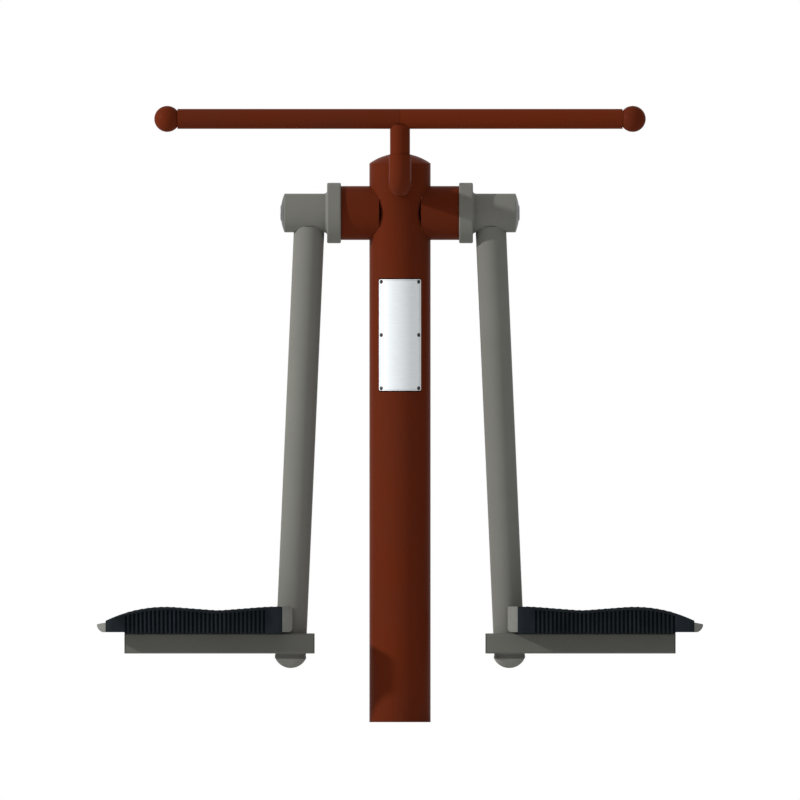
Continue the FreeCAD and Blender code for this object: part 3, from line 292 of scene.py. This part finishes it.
def brushed(name, colour, roughness, stretch=(1.0, 1.0, 1.0), metallic=1.0, dark=0.86):
    """Metal with a fine grain; dark is the share of its light that is left in the grain."""
    metal = Finish(name, Metallic=metallic, IOR=METAL_IOR)
    metal.grain = metal.noise(GRAIN_SCALE, detail=4.0, stretch=stretch)
    smudges = metal.noise(SMUDGE_SCALE, detail=3.0)
    darker = tuple(tone * dark for tone in shade(colour))
    metal.tone = metal.mix(metal.ramp(metal.grain, (0.35, 0.0), (0.65, 1.0)), shade(colour), darker)
    metal.set(
        Base_Color=metal.tone,
        Roughness=metal.grain * GRAIN_DULLING + smudges * SMUDGE_DULLING + roughness,
        Normal=metal.bump(metal.grain, GRAIN_DEPTH),
    )
    return metal


plate_metal = brushed(
    "brushed_plate", PLATE, roughness=0.34, stretch=(1.0, 1.0, 30.0), metallic=0.1, dark=0.93
)
rivet_metal = brushed("rivet_metal", RIVET, roughness=0.24, metallic=0.5).material
across, _, level = plate_metal.axes(plate_metal.place)
from_side = plate_high[0] - across.size()
from_end = plate_half - (level - plate_middle).size()
off_line = (from_side.maths("MINIMUM", from_end) - PLATE_BORDER).size()
line = plate_metal.ramp(off_line / PLATE_LINE, (0.3, 1.0), (0.7, 0.0))
grain = plate_metal.grain * (GRAIN_DEPTH / ENGRAVED_DEPTH)
plate_metal.set(
    Base_Color=plate_metal.mix(line * ENGRAVED_SHARE, plate_metal.tone, shade(ENGRAVED)),
    Normal=plate_metal.bump(grain - line, ENGRAVED_DEPTH),
)
dress(plate_metal.material, "sign_plate")
dress(rivet_metal, "plate_rivets")

# Axle: a turned and ground shaft with circlips, washers and nuts, in a tube inside the post.
# Two ball bearings to a side run on it, with moulded cages, and a circlip keeps them in the hub.
# All of it is shut in by the housings, hubs and caps.

GROUND_STEEL = (186, 187, 190)
SPRING_STEEL = (58, 57, 56)
ZINC = (172, 176, 178)
CAGE = (208, 200, 176)
PLASTIC_IOR = 1.46
CLOUD_SCALE = 22.0
CLOUD_LIFT = 1.25
TEXTURE_DULLING = 0.14


def moulded(name, colour, roughness, texture_scale, texture_depth):
    """Moulded plastic or rubber with a fine eroded texture and paler clouds."""
    plastic = Finish(name, **{"IOR": PLASTIC_IOR, "Specular IOR Level": COAT_GLOSS})
    clouds = plastic.ramp(plastic.noise(CLOUD_SCALE, detail=4.0), (0.4, 0.0), (0.8, 1.0))
    texture = plastic.noise(texture_scale)
    paler = tuple(min(tone * CLOUD_LIFT, 1.0) for tone in shade(colour))
    return plastic.set(
        Base_Color=plastic.mix(clouds, shade(colour), paler),
        Roughness=texture * TEXTURE_DULLING + roughness,
        Normal=plastic.bump(texture, texture_depth),
    )


ground_steel = brushed(
    "ground_steel", GROUND_STEEL, roughness=0.22, stretch=(1.0, 12.0, 12.0)
).material
spring_steel = brushed(
    "phosphated_steel", SPRING_STEEL, roughness=0.42, stretch=(4.0, 1.0, 1.0), metallic=0.8
).material
zinc_steel = brushed("zinc_steel", ZINC, roughness=0.36, stretch=(1.0, 1.0, 4.0)).material
cage_plastic = moulded(
    "cage_nylon", CAGE, roughness=0.45, texture_scale=900.0, texture_depth=0.00003
)
dress(ground_steel, "axle_shaft", "bearing_spacers")
dress(red_coat, "axle_tube")
dress(spring_steel, "axle_circlips")
dress(zinc_steel, "axle_washers", "axle_nuts")
for side in SIDES:
    dress(ground_steel, f"{side}_bearing_inner_rings", f"{side}_bearing_outer_rings")
    dress(ground_steel, f"{side}_bearing_balls")
    dress(cage_plastic, f"{side}_bearing_cages")
    dress(spring_steel, f"{side}_hub_circlip")

# Hubs: a turned tube with a pressed flange cup, coated grey, and closed by a bare stainless cap
# with a button in its middle. Rubber buffers inside the flange meet the housing's lug.

GREY = (124, 124, 118)
GREY_DUSTY = (116, 116, 110)
BUFFER = (22, 22, 22)
CAP_STEEL = (84, 84, 83)
BUTTON_STEEL = (158, 159, 160)
TURNED = (1.0, 8.0, 8.0)

grey_coat = coated("grey_coat", GREY, GREY_DUSTY, roughness=0.26).material
buffer_rubber = moulded(
    "buffer_rubber", BUFFER, roughness=0.7, texture_scale=700.0, texture_depth=0.00005
)
cap_steel = brushed("stainless_cap", CAP_STEEL, roughness=0.3, stretch=TURNED).material
button_steel = brushed(
    "stainless_button", BUTTON_STEEL, roughness=0.26, stretch=TURNED
).material
for side in SIDES:
    dress(grey_coat, f"{side}_hub_tube", f"{side}_hub_flange")
    dress(buffer_rubber, f"{side}_stop_buffers")
    dress(cap_steel, f"{side}_hub_end_cap")
    dress(button_steel, f"{side}_cap_button")

# Legs: splayed tubes, coped to the hubs and run through the rails to a domed end cap.
# The cap is coated on its own and painted paler than the leg as painted light, with a band of
# painted shadow under its collar.

# The cap's tone is a paler grey than the leg's, as painted light; below are the tone and span of
# the painted shadow band under its collar.
CAP_PAINTED_LIGHT = (140, 140, 134)
CAP_PAINTED_LIGHT_DUSTY = (132, 132, 126)
COLLAR_SHADE = (106, 106, 101)
COLLAR_TOP = 0.1383
COLLAR_SHADE_FOOT = 0.1262

cap_coat = coated("cap_coat", CAP_PAINTED_LIGHT, CAP_PAINTED_LIGHT_DUSTY, roughness=0.28)
level = cap_coat.axes(cap_coat.place)[2]
# Painted shadow: a darker band just under the collar's top, with the paler cap tone above and below
# it.
collar_shade = cap_coat.ramp(
    (level - COLLAR_SHADE_FOOT) / (COLLAR_TOP - COLLAR_SHADE_FOOT),
    (0.0, 0.0), (0.08, 1.0), (0.62, 0.9), (0.72, 0.0),
)
cap_coat.set(Base_Color=cap_coat.mix(collar_shade, cap_coat.tone, shade(COLLAR_SHADE)))
for side in SIDES:
    dress(grey_coat, f"{side}_leg_tube")
    dress(cap_coat.material, f"{side}_leg_end_cap")

# Foot rails: rectangular tube across each leg's foot, with a moulded plug pressed in each end.
# The plugs' rims are rounded, so each stands in the scene as a softened copy of its CAD piece.

RAIL_GREY = (112, 112, 106)
RAIL_DUSTY = (104, 104, 99)
PLUG = (96, 96, 91)
PLUG_ROUND = 0.0022
SAME_POINT = 0.000002
FLAT_WITHIN = math.radians(0.3)
ROUNDED_FROM = math.radians(35)
CREASED_FROM = math.radians(28)


def softened(node, width, material, body, chosen=lambda edge: True):
    """Stand a copy of a CAD piece in for it, with its outer edges rounded."""
    form = bmesh.new()
    form.from_mesh(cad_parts[node].data)
    bmesh.ops.remove_doubles(form, verts=form.verts, dist=SAME_POINT)
    bmesh.ops.dissolve_limit(
        form, angle_limit=FLAT_WITHIN, use_dissolve_boundaries=False,
        verts=form.verts, edges=form.edges,
    )
    edges = [
        edge for edge in form.edges
        if len(edge.link_faces) == 2 and edge.is_convex
        and edge.calc_face_angle() > ROUNDED_FROM and chosen(edge)
    ]
    bmesh.ops.bevel(
        form, geom=edges, offset=width, offset_type="OFFSET", segments=3, profile=0.5,
        affect="EDGES", clamp_overlap=True,
    )
    mesh = bpy.data.meshes.new(f"{node}_softened")
    form.to_mesh(mesh)
    form.free()
    mesh.materials.append(material)
    mesh.shade_smooth()
    mesh.set_sharp_from_angle(angle=CREASED_FROM)
    piece = bpy.data.objects.new(f"{node}_detail", mesh)
    bpy.context.scene.collection.objects.link(piece)
    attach(piece, body)
    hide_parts(node)
    return piece


rail_coat = coated("rail_coat", RAIL_GREY, RAIL_DUSTY, roughness=0.3).material
plug_plastic = moulded(
    "plug_plastic", PLUG, roughness=0.5, texture_scale=600.0, texture_depth=0.00003
)
for side in SIDES:
    dress(rail_coat, f"{side}_foot_rail")
    softened(f"{side}_rail_end_plugs", PLUG_ROUND, plug_plastic, f"{side}_swing")

# Treads: thick moulded rubber pads with slotted sides and a waved top, rounded along its rim.
# Low round studs in staggered rows give grip, and stay clear of the rim, the leg and the screws.
# Each tread is moulded in one piece and lies on its foot rail.

TREAD = (34, 39, 43)
TREAD_ROUND = 0.003
TOP_FACING = 0.7
STUD_PITCH = 0.013
STUD_RADIUS = 0.0036
STUD_TAPER = 0.72
STUD_SIDES = 10
STUD_HEIGHT = 0.0005
STUD_CLEAR = 0.008
GRIP_LOWEST = 0.2165
LOOK_FROM = 0.01
LOOK_ROUND = (
    (1, 0), (-1, 0), (0, 1), (0, -1), (0.7, 0.7), (-0.7, 0.7), (0.7, -0.7), (-0.7, -0.7),
)


class Pattern(Finish):
    """A Geometry Nodes tree with named sizes, run once on a mesh."""

    def __init__(self, name, sizes):
        self.tree = bpy.data.node_groups.new(name, "GeometryNodeTree")
        self.sizes = sizes
        sockets = self.tree.interface
        sockets.new_socket("Geometry", in_out="OUTPUT", socket_type="NodeSocketGeometry")
        sockets.new_socket("Geometry", in_out="INPUT", socket_type="NodeSocketGeometry")
        for size in sizes:
            sockets.new_socket(size, in_out="INPUT", socket_type="NodeSocketFloat")
        self.given = self.node("NodeGroupInput", {}, {}).value

    def join(self, x, y, z):
        """A vector from three numbers."""
        return self.node("CombineXYZ", {}, {0: x, 1: y, 2: z}).value(0)

    def run(self, geometry, material, mesh):
        """Finish the tree, run it on the mesh, and return what it makes."""
        whole = self.node("GeometryNodeRealizeInstances", {}, {0: geometry}).value(0)
        dressed = self.node(
            "GeometryNodeSetMaterial", {}, {"Geometry": whole, "Material": material}
        )
        self.node("NodeGroupOutput", {}, {0: dressed.value(0)})
        carrier = bpy.data.objects.new("pattern_carrier", mesh)
        bpy.context.scene.collection.objects.link(carrier)
        modifier = carrier.modifiers.new("pattern", "NODES")
        modifier.node_group = self.tree
        for socket in self.tree.interface.items_tree:
            if socket.name in self.sizes:
                modifier[socket.identifier] = self.sizes[socket.name]
        graph = bpy.context.evaluated_depsgraph_get()
        made = bpy.data.meshes.new_from_object(carrier.evaluated_get(graph))
        carrier.modifiers.remove(modifier)
        bpy.data.objects.remove(carrier)
        return made


def grip_studs(name, tread, material):
    """Studs over a tread's top, set where a look straight down finds it high and clear."""
    low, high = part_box(name)
    studs = Pattern(f"{name}_grip", {
        "Left": low[0], "Front": low[1], "Above": high[2] + LOOK_FROM, "Pitch": STUD_PITCH,
        "Stud radius": STUD_RADIUS, "Stud height": STUD_HEIGHT, "Clear": STUD_CLEAR,
        "Lowest": GRIP_LOWEST,
    })
    given = studs.given
    columns = int((high[0] - low[0]) / STUD_PITCH)
    rows = int((high[1] - low[1]) / STUD_PITCH)
    points = studs.node("GeometryNodePoints", {}, {"Count": columns * rows}).value(0)
    number = studs.node("GeometryNodeInputIndex", {}, {}).value(0)
    column = (number * (1.0 / rows)).maths("FLOOR")
    row = number - column * rows
    stagger = column.maths("FLOORED_MODULO", 2.0) * 0.5
    x = (column + 0.5) * given("Pitch") + given("Left")
    y = (row + stagger + 0.25) * given("Pitch") + given("Front")
    here = studs.join(x, y, given("Above"))
    points = studs.node("GeometryNodeSetPosition", {}, {0: points, "Position": here}).value(0)

    def look(across, along):
        """Look down beside each point: what is hit, and whether it is high enough."""
        aside = x + given("Clear") * across, y + given("Clear") * along
        seen = studs.node("GeometryNodeRaycast", {}, {
            "Target Geometry": given("Geometry"),
            "Source Position": studs.join(*aside, given("Above")),
            "Ray Direction": (0, 0, -1), "Ray Length": 1.0,
        })
        height = studs.axes(seen.value("Hit Position"))[2]
        return seen, height.maths("GREATER_THAN", given("Lowest")) * seen.value("Is Hit")

    middle, kept = look(0.0, 0.0)
    for across, along in LOOK_ROUND:
        kept = kept * look(across, along)[1]
    points = studs.node("GeometryNodeSetPosition", {}, {
        0: points, "Selection": kept, "Position": middle.value("Hit Position"),
    }).value(0)
    stood = studs.node(
        "FunctionNodeAlignRotationToVector", {}, {"Vector": middle.value("Hit Normal")}
    ).value(0)
    stud = studs.node("GeometryNodeMeshCone", {"fill_type": "NGON"}, {
        "Vertices": STUD_SIDES, "Radius Top": given("Stud radius") * STUD_TAPER,
        "Radius Bottom": given("Stud radius"), "Depth": given("Stud height") * 2.0,
    }).value(0)
    sunk = studs.join(0.0, 0.0, given("Stud height") * -1.0)
    stud = studs.node(
        "GeometryNodeTransform", {}, {"Geometry": stud, "Translation": sunk}
    ).value(0)
    spread = studs.node("GeometryNodeInstanceOnPoints", {}, {
        "Points": points, "Selection": kept, "Instance": stud, "Rotation": stood,
    }).value(0)
    return studs.run(spread, material, tread.data.copy())


def on_top(edge):
    """True for an edge of the tread's top."""
    return max(face.normal.z for face in edge.link_faces) > TOP_FACING


tread_rubber = moulded(
    "tread_rubber", TREAD, roughness=0.5, texture_scale=500.0, texture_depth=0.00006
)
for side in SIDES:
    name, body = f"{side}_tread", f"{side}_swing"
    tread = softened(name, TREAD_ROUND, tread_rubber, body, chosen=on_top)
    grip = bpy.data.objects.new(f"{name}_grip", grip_studs(name, tread, tread_rubber))
    bpy.context.scene.collection.objects.link(grip)
    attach(grip, body)

# Nose pieces and heel guards: grey moulded trim, bonded to the outer and inner end of each tread.
# Their edges are rounded, so they too stand in the scene as softened copies.

TRIM = (122, 122, 117)
GUARD_ROUND = 0.0022
NOSE_ROUND = 0.0008

trim_plastic = moulded(
    "grey_trim", TRIM, roughness=0.42, texture_scale=700.0, texture_depth=0.00003
)
for side in SIDES:
    body = f"{side}_swing"
    softened(f"{side}_heel_guards", GUARD_ROUND, trim_plastic, body)
    softened(f"{side}_tread_nose", NOSE_ROUND, trim_plastic, body)

# Screws: zinc-plated cap screws, four to a pedal, sunk in the tread and run through it
# and the rail's upper wall into nuts inside the rail.

for side in SIDES:
    dress(zinc_steel, f"{side}_tread_screws", f"{side}_tread_nuts")

# Studio: a pale round floor, one soft key light from the upper left front, and an even sky.
# Camera, gloss and glass see the sky plain white. The sky that lights the object is dimmer,
# with a brighter patch straight overhead.

FLOOR_RADIUS = 3.0
FLOOR_CORNERS = 96
FLOOR_DROP = 0.0006
FLOOR_TONE = 0.9
FLOOR_LIFT = 0.42
KEY_PLACE = Vector((-5.9, -2.25, 3.05))
KEY_AIM = Vector((0.0, 0.0, 0.6443))
KEY_WIDTH = 0.35
KEY_POWER = 315.0
SKY_EVEN = 0.46
SKY_OVERHEAD = 0.85
WHITE = (1.0, 1.0, 1.0, 1.0)

rim = [
    Vector((FLOOR_RADIUS, 0, 0)) @ Matrix.Rotation(math.tau * turn / FLOOR_CORNERS, 3, "Z")
    for turn in range(FLOOR_CORNERS)
]
floor_mesh = bpy.data.meshes.new("floor")
floor_mesh.from_pydata(rim, [], [range(FLOOR_CORNERS)])
floor = bpy.data.objects.new("floor", floor_mesh)
bpy.context.scene.collection.objects.link(floor)
floor.location.z = -FLOOR_DROP
pale = Finish("pale_floor", **{
    "Base Color": (FLOOR_TONE, FLOOR_TONE, FLOOR_TONE, 1.0),
    "Roughness": 0.9, "Specular IOR Level": 0.0,
})
to_camera = pale.node("LightPath", {}, {}).value("Is Camera Ray")
glow = pale.node("Emission", {}, {"Strength": to_camera * FLOOR_LIFT}).value(0)
lifted = pale.node("AddShader", {}, {0: pale.surface.value(0), 1: glow}).value(0)
pale.tree.links.new(lifted.socket, pale.output.made.inputs["Surface"])
floor_mesh.materials.append(pale.material)

key = bpy.data.objects.new("key_light", bpy.data.lights.new("key_light", "AREA"))
key.data.shape = "DISK"
key.data.size = KEY_WIDTH
key.data.energy = KEY_POWER
key.location = KEY_PLACE
key.rotation_euler = (KEY_PLACE - KEY_AIM).to_track_quat("Z", "Y").to_euler()
bpy.context.scene.collection.objects.link(key)


class Sky(Finish):
    """The world's tree, written like a finish."""

    def __init__(self, world):
        self.tree = world.node_tree
        self.place = self.node("TexCoord", {}, {}).value("Generated")


studio = bpy.data.worlds.new("studio_sky")
studio.use_nodes = True
studio.node_tree.nodes.clear()
bpy.context.scene.world = studio
sky = Sky(studio)
height = sky.axes(sky.place)[2] * 0.5 + 0.5
even = sky.ramp(
    height, (0.0, SKY_EVEN), (0.9, SKY_EVEN), (0.95, SKY_OVERHEAD), (1.0, SKY_OVERHEAD)
)
path = sky.node("LightPath", {}, {}).value
shown = path("Is Camera Ray").maths("MAXIMUM", path("Is Glossy Ray"))
shown = shown.maths("MAXIMUM", path("Is Transmission Ray"))
lighting = sky.node("Background", {}, {"Color": even, "Strength": 1.0}).value(0)
backdrop = sky.node("Background", {}, {"Color": WHITE, "Strength": 1.0}).value(0)
whole_sky = sky.node("MixShader", {}, {0: shown, 1: lighting, 2: backdrop}).value(0)
sky.node("OutputWorld", {}, {"Surface": whole_sky})

# Camera: level and straight from the front, without perspective, at two millimetres to a pixel.
# It stands well clear of the handle bar, and its height is that of the picture's middle.

VIEW_WIDTH = 1.6
VIEW_HEIGHT = 0.6443
VIEW_AWAY = 4.0

camera = bpy.data.objects.new("camera", bpy.data.cameras.new("camera"))
camera.data.type = "ORTHO"
camera.data.ortho_scale = VIEW_WIDTH
camera.location = (0.0, -VIEW_AWAY, VIEW_HEIGHT)
camera.rotation_euler = (math.radians(90), 0.0, 0.0)
bpy.context.scene.collection.objects.link(camera)
bpy.context.scene.camera = camera
bpy.context.scene.view_settings.view_transform = "Standard"
